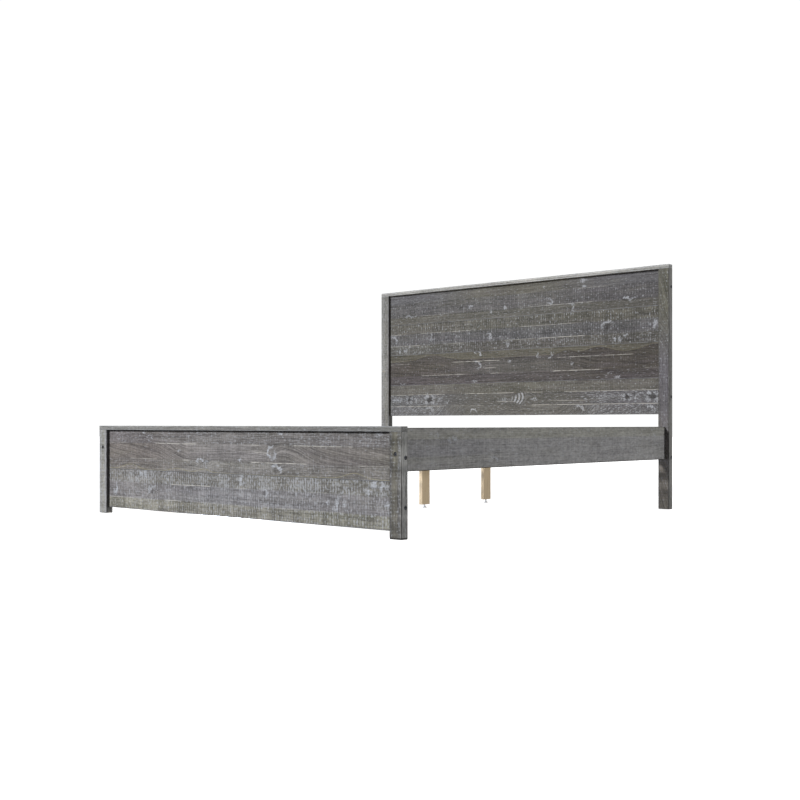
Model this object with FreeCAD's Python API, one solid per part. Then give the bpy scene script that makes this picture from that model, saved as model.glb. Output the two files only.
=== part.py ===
import FreeCAD, Part
import math
import os

from FreeCAD import Vector

# A slatted wooden bed frame for a king mattress, in millimetres.
# +Z is up, X runs across the bed, the footboard is at -Y and the headboard at +Y.
# The origin is on the floor, under the middle of the bed.

# ---------------------------------------------------------------- driving dimensions
overall_width = 2030.0
overall_length = 2115.0
headboard_height = 1272.0
footboard_height = 434.0

post_width = 62.0
post_depth = 37.0
cap_thickness = 21.0
edge_round = 2.0
floor_pad_thickness = 3.0
floor_pad_inset = 0.5

# The panels: horizontal planks, set back from the posts' front faces.
plank_thickness = 18.0
panel_recess = 15.5
headboard_panel_bottom = 493.0
headboard_plank_count = 4
footboard_panel_bottom = 29.5
footboard_seam_height = 219.0
tongue_thickness = 6.0
tongue_height = 7.0
groove_clearance = 0.2
seam_chamfer = 1.3

# The side rails, and the cleats that carry the slats.
rail_bottom = 259.0
rail_height = 169.0
rail_thickness = 20.0
rail_inset = 23.0
cleat_width = 30.0
cleat_thickness = 22.0
end_clearance = 0.5

# The bar between the headboard posts, and the centre beam on its legs.
stretcher_thickness = 22.0
stretcher_below_slats = 1.0
beam_width = 38.0
beam_height = 62.0
leg_count = 4
leg_spacing = 530.0
leg_row_middle = -5.0
leg_thickness = 22.0
leg_width = 62.0
leg_bottom = 19.0

slat_count = 14
slat_width = 75.0
slat_thickness = 20.0
slat_end_gap = 25.0
slat_side_clearance = 2.0

# Pressed steel saddles that carry the beam's ends.
saddle_steel = 2.5
saddle_depth = 40.0
saddle_flange = 34.0
saddle_clearance = 0.4
saddle_top_gap = 2.0

# Connecting bolts with barrel nuts.
bolt_radius = 4.0
bolt_head_radius = 7.0
bolt_head_thickness = 5.5
counterbore_radius = 8.5
counterbore_depth = 8.5
socket_width = 6.0
socket_depth = 3.5
barrel_radius = 6.0
barrel_length = 12.0
barrel_from_end = 33.0
bolt_past_barrel = 11.0
bolt_row = 24.5
post_bolt_x = 983.0
rail_bolt_height = 327.0
footboard_bolt_heights = (122.0, 313.5)
headboard_bolt_heights = (583.5, 1155.5)

# Dowels, screws and threaded parts.
hole_clearance = 0.1
hole_spare_depth = 1.0
fastener_chamfer = 0.8
dowel_radius = 4.0
dowel_length = 40.0
panel_dowel_offset = 50.0
rail_dowel_offset = 55.0
cap_dowel_offset = 15.0
cap_dowel_depth = 14.0
leg_dowel_offset = 18.0
screw_radius = 2.0
screw_head_radius = 4.0
screw_tip_length = 3.0
screw_tip_radius = 0.5
slat_screw_length = 35.0
cleat_screw_length = 40.0
saddle_screw_length = 16.0
saddle_screw_shares = (0.3, 0.75)
cleat_screws_every = 2
insert_radius = 6.0
insert_length = 18.0
hanger_bolt_length = 75.0
hanger_bolt_in_beam = 25.0

# Levelling glides under the centre legs.
glide_stem_radius = 4.0
glide_stem_length = 45.0
glide_running_clearance = 0.4
glide_pad_radius = 11.0
glide_pad_thickness = 6.0
glide_collar_width = 13.0
glide_collar_height = 4.0
glide_stem_in_pad = 4.0
glide_pad_chamfer = 1.2

# ---------------------------------------------------------------- positions worked out from them
half_width = overall_width / 2
half_length = overall_length / 2
foot_front = -half_length
foot_back = foot_front + post_depth
head_back = half_length
head_front = head_back - post_depth
post_inner_x = half_width - post_width
rail_outer_x = half_width - rail_inset
rail_inner_x = rail_outer_x - rail_thickness
rail_top = rail_bottom + rail_height
rail_middle_x = rail_outer_x - rail_thickness / 2
cleat_top = rail_bottom + cleat_thickness
cleat_middle_x = rail_inner_x - cleat_width / 2
slat_top = cleat_top + slat_thickness
beam_bottom = cleat_top - beam_height
foot_panel_back = foot_front + panel_recess + plank_thickness
stretcher_bottom = cleat_top - stretcher_thickness - stretcher_below_slats
stretcher_middle_height = stretcher_bottom + stretcher_thickness / 2
beam_start = foot_panel_back + end_clearance
beam_end = head_front - end_clearance
bolt_head_sunk = counterbore_depth - bolt_head_thickness
leg_centres = [leg_row_middle + (i - (leg_count - 1) / 2) * leg_spacing for i in range(leg_count)]
slat_first = foot_back + slat_end_gap + slat_width / 2
slat_pitch = (head_front - foot_back - 2 * slat_end_gap - slat_width) / (slat_count - 1)
slat_centres = [slat_first + i * slat_pitch for i in range(slat_count)]

X_AXIS = Vector(1, 0, 0)
Y_AXIS = Vector(0, 1, 0)
Z_AXIS = Vector(0, 0, 1)


# ---------------------------------------------------------------- shapes used again and again
def block(x0, x1, y0, y1, z0, z1):
    return Part.makeBox(x1 - x0, y1 - y0, z1 - z0, Vector(x0, y0, z0))


def rod(radius, start, direction, length):
    return Part.makeCylinder(radius, length, start, direction)


def edges_along(shape, direction):
    """The straight edges of a shape that run along a direction."""
    found = []
    for edge in shape.Edges:
        run = edge.Vertexes[-1].Point.sub(edge.Vertexes[0].Point)
        if run.Length > 0 and abs(run.normalize().dot(direction)) > 0.999:
            found.append(edge)
    return found


def rounded_block(x0, x1, y0, y1, z0, z1, direction, radius=edge_round):
    """A board with the edges that run along one direction rounded."""
    shape = block(x0, x1, y0, y1, z0, z1)
    return shape.makeFillet(radius, edges_along(shape, direction))


def save(name, shapes):
    """Write one node: one solid, or a group of identical separate solids."""
    solids = []
    for shape in shapes:
        solids.extend(shape.Solids)
    result = solids[0] if len(solids) == 1 else Part.makeCompound(solids)
    if not result.isValid():
        raise RuntimeError(name + " is not a valid shape")
    result.exportStep("parts/" + name + ".step")
    print(name, len(solids), "solid(s)")


# ---------------------------------------------------------------- fasteners and their holes
def bolt(face, direction, length):
    """A socket-head bolt sunk below a face; direction points into the wood."""
    top = face + direction * bolt_head_sunk
    head = rod(bolt_head_radius, top, direction, bolt_head_thickness)
    rim = [edge for edge in head.Edges if abs(edge.CenterOfMass.sub(top).dot(direction)) < 0.01]
    head = head.makeChamfer(fastener_chamfer, rim[:1])
    shank = rod(bolt_radius, top, direction, bolt_head_thickness + length)
    socket = Part.makePolygon(hexagon(top, direction, socket_width))
    socket = Part.Face(socket).extrude(direction * socket_depth)
    return head.fuse(shank).removeSplitter().cut(socket)


def hexagon(centre, direction, width_across_flats):
    side = Y_AXIS if abs(direction.x) > 0.5 else X_AXIS
    other = direction.cross(side)
    radius = width_across_flats / math.sqrt(3)
    angles = [math.radians(60 * i) for i in range(7)]
    return [centre + side * (radius * math.cos(a)) + other * (radius * math.sin(a)) for a in angles]


def bolt_hole(face, direction, length):
    """The counterbore and clearance hole that a bolt needs."""
    sink = rod(counterbore_radius, face, direction, counterbore_depth)
    depth = counterbore_depth + length + hole_spare_depth
    way = rod(bolt_radius + hole_clearance, face, direction, depth)
    return sink.fuse(way)


def barrel_nut(centre, direction):
    """A barrel nut with its cross hole; direction is the barrel's own axis."""
    start = centre - direction * (barrel_length / 2)
    return rod(barrel_radius, start, direction, barrel_length)


def barrel_hole(centre, direction, mouth):
    """A blind hole for a barrel nut, open at a mouth that lies that far from its centre."""
    start = centre - direction * (barrel_length / 2 + hole_clearance)
    length = barrel_length / 2 + hole_clearance + mouth
    return rod(barrel_radius + hole_clearance, start, direction, length)


def dowel(centre, direction):
    start = centre - direction * (dowel_length / 2)
    shape = rod(dowel_radius, start, direction, dowel_length)
    ends = [edge for edge in shape.Edges if isinstance(edge.Curve, Part.Circle)]
    return shape.makeChamfer(fastener_chamfer, ends)


def dowel_hole(centre, direction):
    length = dowel_length + hole_spare_depth
    return rod(dowel_radius + hole_clearance, centre - direction * (length / 2), direction, length)


def screw(head_centre, direction, length, clearance=0.0):
    """A countersunk screw, or with a clearance the hole that it sits in."""
    head_radius = screw_head_radius + clearance
    radius = screw_radius + clearance
    cone_depth = screw_head_radius - screw_radius
    cone = Part.makeCone(head_radius, radius, cone_depth, head_centre, direction)
    shank_end = length - screw_tip_length
    shank = rod(radius, head_centre + direction * cone_depth, direction, shank_end - cone_depth)
    tip_start = head_centre + direction * shank_end
    tip = Part.makeCone(radius, screw_tip_radius + clearance, screw_tip_length + clearance,
                        tip_start, direction)
    return cone.fuse([shank, tip]).removeSplitter()


def screw_hole(head_centre, direction, length):
    return screw(head_centre, direction, length, hole_clearance)


def insert_nut(start, direction, bore_radius):
    """A threaded insert, its threads left plain."""
    outside = rod(insert_radius, start, direction, insert_length)
    return outside.cut(rod(bore_radius, start, direction, insert_length))


# ---------------------------------------------------------------- where the fasteners are
panel_bolts = []
panel_barrels = []
end_boards = (
    (foot_front, footboard_bolt_heights, plank_thickness + panel_recess),
    (head_front, headboard_bolt_heights, plank_thickness + panel_recess),
    (head_front, (stretcher_middle_height,), post_depth),
)
for board_front, heights, board_back in end_boards:
    for height in heights:
        for side in (-1, 1):
            face = Vector(side * half_width, board_front + bolt_row, height)
            nut = Vector(side * (post_inner_x - barrel_from_end), board_front + bolt_row, height)
            panel_bolts.append((face, X_AXIS * -side))
            panel_barrels.append((nut, Y_AXIS, board_back - bolt_row))

rail_bolts = []
rail_barrels = []
for end in (-1, 1):
    for side in (-1, 1):
        face = Vector(side * post_bolt_x, end * half_length, rail_bolt_height)
        nut = Vector(side * post_bolt_x, end * (head_front - barrel_from_end), rail_bolt_height)
        rail_bolts.append((face, Y_AXIS * -end))
        rail_barrels.append((nut, X_AXIS * -side, post_bolt_x - rail_inner_x))

panel_bolt_length = post_width - counterbore_depth + barrel_from_end + bolt_past_barrel
rail_bolt_length = post_depth - counterbore_depth + barrel_from_end + bolt_past_barrel

headboard_top = headboard_height - cap_thickness
footboard_top = footboard_height - cap_thickness
headboard_plank_height = (headboard_top - headboard_panel_bottom) / headboard_plank_count
headboard_seams = [headboard_panel_bottom + i * headboard_plank_height
                   for i in range(headboard_plank_count + 1)]
footboard_seams = [footboard_panel_bottom, footboard_seam_height, footboard_top]

panel_dowels = []
for board_front, seams in ((foot_front, footboard_seams), (head_front, headboard_seams)):
    for low, high in zip(seams[:-1], seams[1:]):
        for offset in (-panel_dowel_offset, panel_dowel_offset):
            for side in (-1, 1):
                centre = Vector(side * post_inner_x, board_front + bolt_row, (low + high) / 2 + offset)
                panel_dowels.append((centre, X_AXIS))

rail_dowels = []
for end in (-1, 1):
    for side in (-1, 1):
        for offset in (-rail_dowel_offset, rail_dowel_offset):
            height = rail_bottom + rail_height / 2 + offset
            rail_dowels.append((Vector(side * rail_middle_x, end * head_front, height), Y_AXIS))

cap_dowels = []
for board_front, top in ((foot_front, footboard_top), (head_front, headboard_top)):
    for side in (-1, 1):
        for offset in (-cap_dowel_offset, cap_dowel_offset):
            x = side * (half_width - post_width / 2) + offset
            height = top + cap_dowel_depth - dowel_length / 2
            cap_dowels.append((Vector(x, board_front + post_depth / 2, height), Z_AXIS))

leg_dowels = []
for y in leg_centres:
    for offset in (-leg_dowel_offset, leg_dowel_offset):
        leg_dowels.append((Vector(0, y + offset, beam_bottom), Z_AXIS))

slat_screws = []
for y in slat_centres:
    for x in (-cleat_middle_x, 0.0, cleat_middle_x):
        slat_screws.append((Vector(x, y, slat_top), Z_AXIS * -1))

cleat_screws = []
for y in [y + slat_pitch / 2 for y in slat_centres[:-1:cleat_screws_every]]:
    for side in (-1, 1):
        head_centre = Vector(side * (rail_inner_x - cleat_width), y, rail_bottom + cleat_thickness / 2)
        cleat_screws.append((head_centre, X_AXIS * side))

saddle_half = beam_width / 2 + saddle_clearance
saddle_screws = []
for wall, inward in ((foot_panel_back, 1), (head_front, -1)):
    for side in (-1, 1):
        for share in saddle_screw_shares:
            x = side * (saddle_half + saddle_steel + share * saddle_flange)
            head_centre = Vector(x, wall + inward * saddle_steel, stretcher_middle_height)
            saddle_screws.append((head_centre, Y_AXIS * -inward))


def drill(shape, tools):
    """Cut a list of holes out of a piece, leaving out those that are nowhere near it."""
    near = [tool for tool in tools if tool.BoundBox.intersect(shape.BoundBox)]
    return shape.cut(near) if near else shape


holes = [bolt_hole(face, way, panel_bolt_length) for face, way in panel_bolts]
holes += [bolt_hole(face, way, rail_bolt_length) for face, way in rail_bolts]
holes += [barrel_hole(*place) for place in panel_barrels + rail_barrels]
holes += [dowel_hole(*place) for place in panel_dowels + rail_dowels + cap_dowels + leg_dowels]
holes += [screw_hole(*place, slat_screw_length) for place in slat_screws]
holes += [screw_hole(*place, cleat_screw_length) for place in cleat_screws]
holes += [screw_hole(*place, saddle_screw_length) for place in saddle_screws]


# ---------------------------------------------------------------- the wooden pieces
def post(side, front, top):
    x0, x1 = sorted((side * post_inner_x, side * half_width))
    shape = rounded_block(x0, x1, front, front + post_depth, floor_pad_thickness, top, Z_AXIS)
    return drill(shape, holes)


def cap(front, top):
    """The rail on top of two posts and a panel, with a groove for the top plank's tongue."""
    shape = block(-half_width, half_width, front, front + post_depth, top, top + cap_thickness)
    shape = shape.makeFillet(edge_round, shape.Edges)
    groove = tongue(front, top, groove_clearance)
    return drill(shape, holes + [groove])


def tongue(front, height, clearance=0.0):
    """The tongue on a plank's upper edge, or with a clearance the groove for it."""
    middle = front + panel_recess + plank_thickness / 2
    half = tongue_thickness / 2 + clearance
    reach = post_inner_x + clearance
    return block(-reach, reach, middle - half, middle + half, height, height + tongue_height + 2 * clearance)


def plank(front, low, high):
    """A panel plank with chamfered seams, a tongue on top and, above another plank, a groove."""
    y0 = front + panel_recess
    shape = block(-post_inner_x, post_inner_x, y0, y0 + plank_thickness, low, high)
    shape = shape.makeChamfer(seam_chamfer, edges_along(shape, X_AXIS))
    shape = shape.fuse(tongue(front, high)).removeSplitter()
    has_plank_below = low not in (headboard_panel_bottom, footboard_panel_bottom)
    grooves = [tongue(front, low, groove_clearance)] if has_plank_below else []
    return drill(shape, holes + grooves)


def side_rail(side):
    x0, x1 = sorted((side * rail_inner_x, side * rail_outer_x))
    return drill(rounded_block(x0, x1, foot_back, head_front, rail_bottom, rail_top, Y_AXIS), holes)


def cleat(side):
    x0, x1 = sorted((side * rail_inner_x, side * (rail_inner_x - cleat_width)))
    y0 = foot_back + end_clearance
    y1 = head_front - end_clearance
    return drill(rounded_block(x0, x1, y0, y1, rail_bottom, cleat_top, Y_AXIS), holes)


def stretcher():
    return drill(rounded_block(-post_inner_x, post_inner_x, head_front, head_back,
                               stretcher_bottom, stretcher_bottom + stretcher_thickness, X_AXIS), holes)


def centre_beam():
    shape = rounded_block(-beam_width / 2, beam_width / 2, beam_start, beam_end,
                          beam_bottom, cleat_top, Y_AXIS)
    inserts = [rod(insert_radius + hole_clearance, Vector(0, y, beam_bottom), Z_AXIS, insert_length)
               for y in leg_centres]
    bolts = [rod(bolt_radius + hole_clearance, Vector(0, y, beam_bottom), Z_AXIS,
                 hanger_bolt_in_beam + hole_spare_depth) for y in leg_centres]
    return drill(shape, holes + inserts + bolts)


def centre_leg(y):
    shape = rounded_block(-leg_thickness / 2, leg_thickness / 2, y - leg_width / 2, y + leg_width / 2,
                          leg_bottom, beam_bottom, Z_AXIS)
    in_leg = hanger_bolt_length - hanger_bolt_in_beam + hole_spare_depth
    bolt_way = rod(bolt_radius + hole_clearance, Vector(0, y, beam_bottom), Z_AXIS * -1, in_leg)
    insert = rod(insert_radius + hole_clearance, Vector(0, y, leg_bottom), Z_AXIS, insert_length)
    stem_way = rod(glide_stem_radius + glide_running_clearance, Vector(0, y, leg_bottom), Z_AXIS,
                   glide_stem_length)
    return drill(shape, holes + [bolt_way, insert, stem_way])


def slat(y):
    reach = rail_inner_x - slat_side_clearance
    shape = rounded_block(-reach, reach, y - slat_width / 2, y + slat_width / 2, cleat_top, slat_top, X_AXIS)
    return drill(shape, holes)


# ---------------------------------------------------------------- metal and plastic pieces
def saddle(wall, inward):
    """A pressed steel saddle: two flanges on the wall, two cheeks and a floor for the beam."""
    y0, y1 = sorted((wall, wall + inward * saddle_depth))
    f0, f1 = sorted((wall, wall + inward * saddle_steel))
    top = cleat_top - saddle_top_gap
    outer = saddle_half + saddle_steel
    shape = block(-outer, outer, y0, y1, beam_bottom - saddle_steel, top)
    flange_low = stretcher_bottom if inward < 0 else beam_bottom
    flanges = block(-outer - saddle_flange, outer + saddle_flange, f0, f1, flange_low, top)
    room = block(-saddle_half, saddle_half, y0, y1, beam_bottom, top)
    return drill(shape.fuse(flanges).removeSplitter().cut(room), holes)


def floor_pad(side, front):
    x0, x1 = sorted((side * (post_inner_x + floor_pad_inset), side * (half_width - floor_pad_inset)))
    y0 = front + floor_pad_inset
    y1 = front + post_depth - floor_pad_inset
    return rounded_block(x0, x1, y0, y1, 0.0, floor_pad_thickness, Z_AXIS)


def glide_stem(y):
    """The glide's threaded stem, left plain, with the hexagon that turns it."""
    start = Vector(0, y, glide_pad_thickness - glide_stem_in_pad)
    stem = rod(glide_stem_radius, start, Z_AXIS, glide_stem_length)
    outline = Part.makePolygon(hexagon(Vector(0, y, glide_pad_thickness), Z_AXIS, glide_collar_width))
    collar = Part.Face(outline).extrude(Z_AXIS * glide_collar_height)
    return stem.fuse(collar)


def glide_pad(y):
    shape = rod(glide_pad_radius, Vector(0, y, 0), Z_AXIS, glide_pad_thickness)
    rims = [edge for edge in shape.Edges if isinstance(edge.Curve, Part.Circle)]
    shape = shape.makeChamfer(glide_pad_chamfer, rims)
    socket = rod(glide_stem_radius + hole_clearance, Vector(0, y, glide_pad_thickness), Z_AXIS * -1,
                 glide_stem_in_pad)
    return shape.cut(socket)


# ---------------------------------------------------------------- build every node
os.makedirs("parts", exist_ok=True)

ends = (("footboard", foot_front, footboard_top, footboard_seams),
        ("headboard", head_front, headboard_top, headboard_seams))
for name, front, top, seams in ends:
    save(name + "_post_left", [post(-1, front, top)])
    save(name + "_post_right", [post(1, front, top)])
    save(name + "_cap", [cap(front, top)])
    for number, (low, high) in enumerate(zip(seams[:-1], seams[1:]), start=1):
        save(name + "_plank_" + str(number), [plank(front, low, high)])

for name, side in (("left", -1), ("right", 1)):
    save("side_rail_" + name, [side_rail(side)])
    save("slat_cleat_" + name, [cleat(side)])

save("head_stretcher", [stretcher()])
save("centre_beam", [centre_beam()])
save("beam_saddle_foot", [saddle(foot_panel_back, 1)])
save("beam_saddle_head", [saddle(head_front, -1)])

for number, y in enumerate(slat_centres, start=1):
    save("slat_" + str(number), [slat(y)])

for number, y in enumerate(leg_centres, start=1):
    save("centre_leg_" + str(number), [centre_leg(y)])
    save("glide_stem_" + str(number), [glide_stem(y)])
    save("glide_pad_" + str(number), [glide_pad(y)])

save("floor_pads", [floor_pad(side, front) for side in (-1, 1) for front in (foot_front, head_front)])

save("panel_bolts", [bolt(face, way, panel_bolt_length) for face, way in panel_bolts])
save("rail_bolts", [bolt(face, way, rail_bolt_length) for face, way in rail_bolts])
barrels = []
bolt_ways = [rod(bolt_radius + hole_clearance, face, way, 2 * post_width + barrel_from_end)
             for face, way in panel_bolts + rail_bolts]
for centre, way, mouth in panel_barrels + rail_barrels:
    barrels.append(drill(barrel_nut(centre, way), bolt_ways))
save("barrel_nuts", barrels)

save("panel_dowels", [dowel(*place) for place in panel_dowels])
save("rail_dowels", [dowel(*place) for place in rail_dowels])
save("cap_dowels", [dowel(*place) for place in cap_dowels])
save("leg_dowels", [dowel(*place) for place in leg_dowels])

save("slat_screws", [screw(*place, slat_screw_length) for place in slat_screws])
save("cleat_screws", [screw(*place, cleat_screw_length) for place in cleat_screws])
save("saddle_screws", [screw(*place, saddle_screw_length) for place in saddle_screws])

save("leg_hanger_bolts", [
    rod(bolt_radius, Vector(0, y, beam_bottom + hanger_bolt_in_beam), Z_AXIS * -1, hanger_bolt_length)
    for y in leg_centres])
save("beam_insert_nuts", [
    insert_nut(Vector(0, y, beam_bottom), Z_AXIS, bolt_radius + hole_clearance) for y in leg_centres])
save("glide_insert_nuts", [
    insert_nut(Vector(0, y, leg_bottom), Z_AXIS, glide_stem_radius + glide_running_clearance)
    for y in leg_centres])
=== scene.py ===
import math

import bpy
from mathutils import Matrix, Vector


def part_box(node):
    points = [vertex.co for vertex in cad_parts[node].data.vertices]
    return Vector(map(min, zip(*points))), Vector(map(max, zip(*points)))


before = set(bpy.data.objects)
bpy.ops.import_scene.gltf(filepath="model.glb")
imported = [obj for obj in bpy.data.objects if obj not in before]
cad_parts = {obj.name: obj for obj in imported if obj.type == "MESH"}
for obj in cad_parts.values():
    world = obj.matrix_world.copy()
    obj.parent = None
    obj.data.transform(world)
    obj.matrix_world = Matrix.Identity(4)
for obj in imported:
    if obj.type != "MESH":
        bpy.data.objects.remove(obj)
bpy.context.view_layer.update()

# ---------------------------------------------------------------- measures, in metres and degrees
CAMERA_AT = (3.8893, -4.2709, 0.4444)
CAMERA_AZIMUTH = 41.882
CAMERA_LENS = 50.91
CAMERA_SENSOR = 36.0
CAMERA_SHIFT_Y = 0.02946

FLOOR_SIZE = 60.0
FLOOR_WHITE = 0.50
FLOOR_GLOW = 0.90
FLOOR_ROUGH = 0.9
SKY_SEEN = 1.05
SKY_LIGHT = 0.15
KEY = dict(power=3.05, angle=9.0, toward=(-0.46, -1.0, 0.58))
FILL = dict(power=1.25, angle=8.0, toward=(1.0, 0.38, 0.05))
BACK = dict(power=2.0, angle=20.0, toward=(-0.25, 1.0, 0.8))
UNDER_POWER = 12.5
UNDER_COLOUR = (0.79, 0.86, 1.0)
UNDER_SIZE = (0.3, 0.14)
UNDER_X = -0.30
UNDER_BEHIND = 0.06
UNDER_TOWARD = (0.3, 1.0, 0.0)


def hue(red, green, blue):
    """The linear colour of a paint sample that is given by its display values, 0 to 255."""
    shares = (red / 255, green / 255, blue / 255)
    return tuple(c / 12.92 if c <= 0.04045 else ((c + 0.055) / 1.055) ** 2.4 for c in shares)


CHALK = hue(188, 192, 200)
LIME = hue(214, 212, 206)
# A near-black: the colour of knot hearts, cracks and the darker low end of a post, and also painted shade
# along the plank joints and on the dark edges.
DIRT_AND_SHADE = hue(38, 34, 32)
OLIVE = hue(111, 109, 96)
VIOLET = hue(112, 106, 118)
STRAW = hue(158, 152, 124)


# ---------------------------------------------------------------- a short way to write shader nodes
NOISE_ROUGHNESS = 0.55


class Shader:
    """Builds one material's node tree; every method returns an output socket."""

    def __init__(self, name, seed=0):
        self.material = bpy.data.materials.new(name)
        self.material.use_nodes = True
        self.tree = self.material.node_tree
        self.tree.nodes.clear()
        self.seed = seed

    def node(self, kind, **settings):
        made = self.tree.nodes.new(kind)
        for key, value in settings.items():
            setattr(made, key, value)
        return made

    def feed(self, socket, value):
        if isinstance(value, bpy.types.NodeSocket):
            self.tree.links.new(value, socket)
        else:
            socket.default_value = value

    def math(self, operation, a, b=0.0, c=0.0):
        made = self.node("ShaderNodeMath", operation=operation)
        for socket, value in zip(made.inputs, (a, b, c)):
            self.feed(socket, value)
        return made.outputs[0]

    def add(self, a, b):
        return self.math("ADD", a, b)

    def less(self, a, b):
        return self.math("SUBTRACT", a, b)

    def times(self, a, b):
        return self.math("MULTIPLY", a, b)

    def plus(self, a, share, b):
        """a + share * b"""
        return self.math("MULTIPLY_ADD", b, share, a)

    def larger(self, a, b):
        return self.math("MAXIMUM", a, b)

    def rise(self, value, low, high, start=0.0, end=1.0):
        """A smooth step from start at low to end at high."""
        made = self.node("ShaderNodeMapRange", interpolation_type="SMOOTHSTEP")
        for socket, number in zip(made.inputs, (value, low, high, start, end)):
            self.feed(socket, number)
        return made.outputs[0]

    def near(self, value, middle, reach):
        """1 where value is middle, fading to 0 at reach from it."""
        return self.rise(self.math("ABSOLUTE", self.less(value, middle)), reach, reach * 0.35)

    def vector(self, x, y, z):
        made = self.node("ShaderNodeCombineXYZ")
        for socket, value in zip(made.inputs, (x, y, z)):
            self.feed(socket, value)
        return made.outputs[0]

    def noise(self, vector, scale=1.0, detail=3.0):
        made = self.node("ShaderNodeTexNoise")
        self.feed(made.inputs["Vector"], vector)
        made.inputs["Scale"].default_value = scale
        made.inputs["Detail"].default_value = detail
        made.inputs["Roughness"].default_value = NOISE_ROUGHNESS
        return made.outputs[0]

    def grain(self, u, v, w, along, across, detail=3.0, shift=0.0):
        """Noise that repeats about `along` times a metre with the grain and `across` times across it."""
        made = self.node("ShaderNodeVectorMath", operation="MULTIPLY_ADD")
        self.feed(made.inputs[0], self.vector(u, v, w))
        made.inputs[1].default_value = (along, across, across)
        made.inputs[2].default_value = (self.seed * 13.7 + shift, self.seed * 3.1, shift)
        return self.noise(made.outputs[0], detail=detail)

    def mix(self, share, a, b):
        made = self.node("ShaderNodeMix", data_type="RGBA")
        self.feed(made.inputs[0], share)
        self.feed(made.inputs[6], a if isinstance(a, bpy.types.NodeSocket) else (*a, 1.0))
        self.feed(made.inputs[7], b if isinstance(b, bpy.types.NodeSocket) else (*b, 1.0))
        return made.outputs[2]

    def scaled(self, colour, factor):
        made = self.node("ShaderNodeVectorMath", operation="SCALE")
        self.feed(made.inputs[0], colour)
        self.feed(made.inputs[3], factor)
        return made.outputs[0]

    def ramp(self, value, low, high, stops):
        """Straight lines through the stops, each (place, number or colour), for places from low to high."""
        made = self.node("ShaderNodeValToRGB")
        self.feed(made.inputs[0], self.math("DIVIDE", self.less(value, low), high - low))
        points = made.color_ramp.elements
        points.remove(points[1])
        for index, (place, result) in enumerate(stops):
            share = min(1.0, max(0.0, (place - low) / (high - low)))
            point = points.new(share) if index else points[0]
            point.position = share
            point.color = (*result, 1.0) if isinstance(result, tuple) else (result, result, result, 1.0)
        return made.outputs[0]

    def bands(self, value, height, tops, results, blend=0.003):
        """One result for each band below its top, with a short blend between neighbours."""
        stops = [(0.0, results[0])]
        for top, below, above in zip(tops, results, results[1:]):
            stops += [(top - blend, below), (top + blend, above)]
        return self.ramp(value, 0.0, height, stops)

    def spans(self, value, half, parts):
        """The strength of each (start, end, strength) between its ends, and 0 elsewhere."""
        fade = 0.012
        stops = [(-half, 0.0)]
        for start, end, strength in parts:
            stops += [(start, 0.0), (start + fade, strength), (end - fade, strength), (end, 0.0)]
        return self.ramp(value, -half, half, stops)

    def place_in(self, box, along):
        """u from the middle of the piece's length, v and w from its low edges, in metres."""
        split = self.node("ShaderNodeSeparateXYZ")
        self.feed(split.inputs[0], self.node("ShaderNodeTexCoord").outputs["Object"])
        low, high = box
        order = {"x": (0, 2, 1), "y": (1, 2, 0), "z": (2, 0, 1)}[along]
        starts = ((low[order[0]] + high[order[0]]) / 2, low[order[1]], low[order[2]])
        self.size = [high[axis] - low[axis] for axis in order]
        return [self.less(split.outputs[axis], start) for axis, start in zip(order, starts)]

    def arris(self, v, w, reach):
        """1 on the long edges of a board, fading to 0 at reach from them."""
        found = []
        for value, size in ((v, self.size[1]), (w, self.size[2])):
            away = self.math("ABSOLUTE", self.less(value, size / 2))
            found.append(self.rise(away, size / 2 - reach, size / 2 - reach * 0.1))
        return self.times(*found)

    def finish(self, colour, roughness, height=None, depth=0.001, **settings):
        """Principled surface and output."""
        surface = self.node("ShaderNodeBsdfPrincipled")
        self.feed(surface.inputs["Base Color"], colour)
        self.feed(surface.inputs["Roughness"], roughness)
        for key, value in settings.items():
            surface.inputs[key.replace("_", " ")].default_value = value
        if height is not None:
            bump = self.node("ShaderNodeBump")
            bump.inputs["Strength"].default_value = 1.0
            bump.inputs["Distance"].default_value = depth
            self.feed(bump.inputs["Height"], height)
            self.feed(surface.inputs["Normal"], bump.outputs[0])
        output = self.node("ShaderNodeOutputMaterial")
        self.feed(output.inputs["Surface"], surface.outputs[0])
        return self.material


# ---------------------------------------------------------------- weathered boards
# The grain's widths: repeats a metre along it, repeats across it, detail, and which part of the noise.
BROAD_GRAIN = (1.6, 30.0, 3.0, 9.0)
MEDIUM_GRAIN = (5.0, 95.0)
THREAD_GRAIN = (11.0, 230.0, 3.0, 2.0)
FINE_GRAIN = (26.0, 640.0, 3.0, 5.0)
# Radians a metre of two waves: the saw's ticks along the board, and the rings across its face.
SAW_BEAT = 420.0
RING_BEAT = 560.0
# Lengths in metres: how far the grain and the strips' edges wander, the reach of lines and edges, and
# how deep the bumps are.
GRAIN_DRIFT = 0.014
EDGE_DRIFT = 0.006
LINE_REACH = 0.0021
CRACK_REACH = 0.0024
SEAM_SHADE_OUTER = 0.0042
SEAM_SHADE_INNER = 0.0018
WEAR_AND_SHADE_REACH = 0.005
LOW_END_DARK_TO = 0.006
LOW_END_DARK_FROM = 0.002
WOOD_BUMP = 0.0007


def strip(top, left, middle, right, saw=0.2, chalk=0.3, slope=0.0, ends=0.0):
    """One sawn strip of a board's face: its top edge, and its colour at three places along it.

    saw is the strength of the saw's ticks, chalk the limewash in the grain, slope how much the grain
    leans towards the ends, and ends the limewash added there.
    """
    return dict(top=top, colours=(left, middle, right), saw=saw, chalk=chalk, slope=slope, ends=ends)


def knot(x, z, size, chalk=0.6, core=0.7, turn=None):
    """A knot with a ring of limewash, or with half a ring on the side of turn in degrees (90 is up)."""
    shape = dict(wide=size * 1.4, tall=size, lift=size * 0.8)
    return dict(kind="ring", x=x, z=z, chalk=chalk, core=core, turn=turn, **shape)


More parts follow.
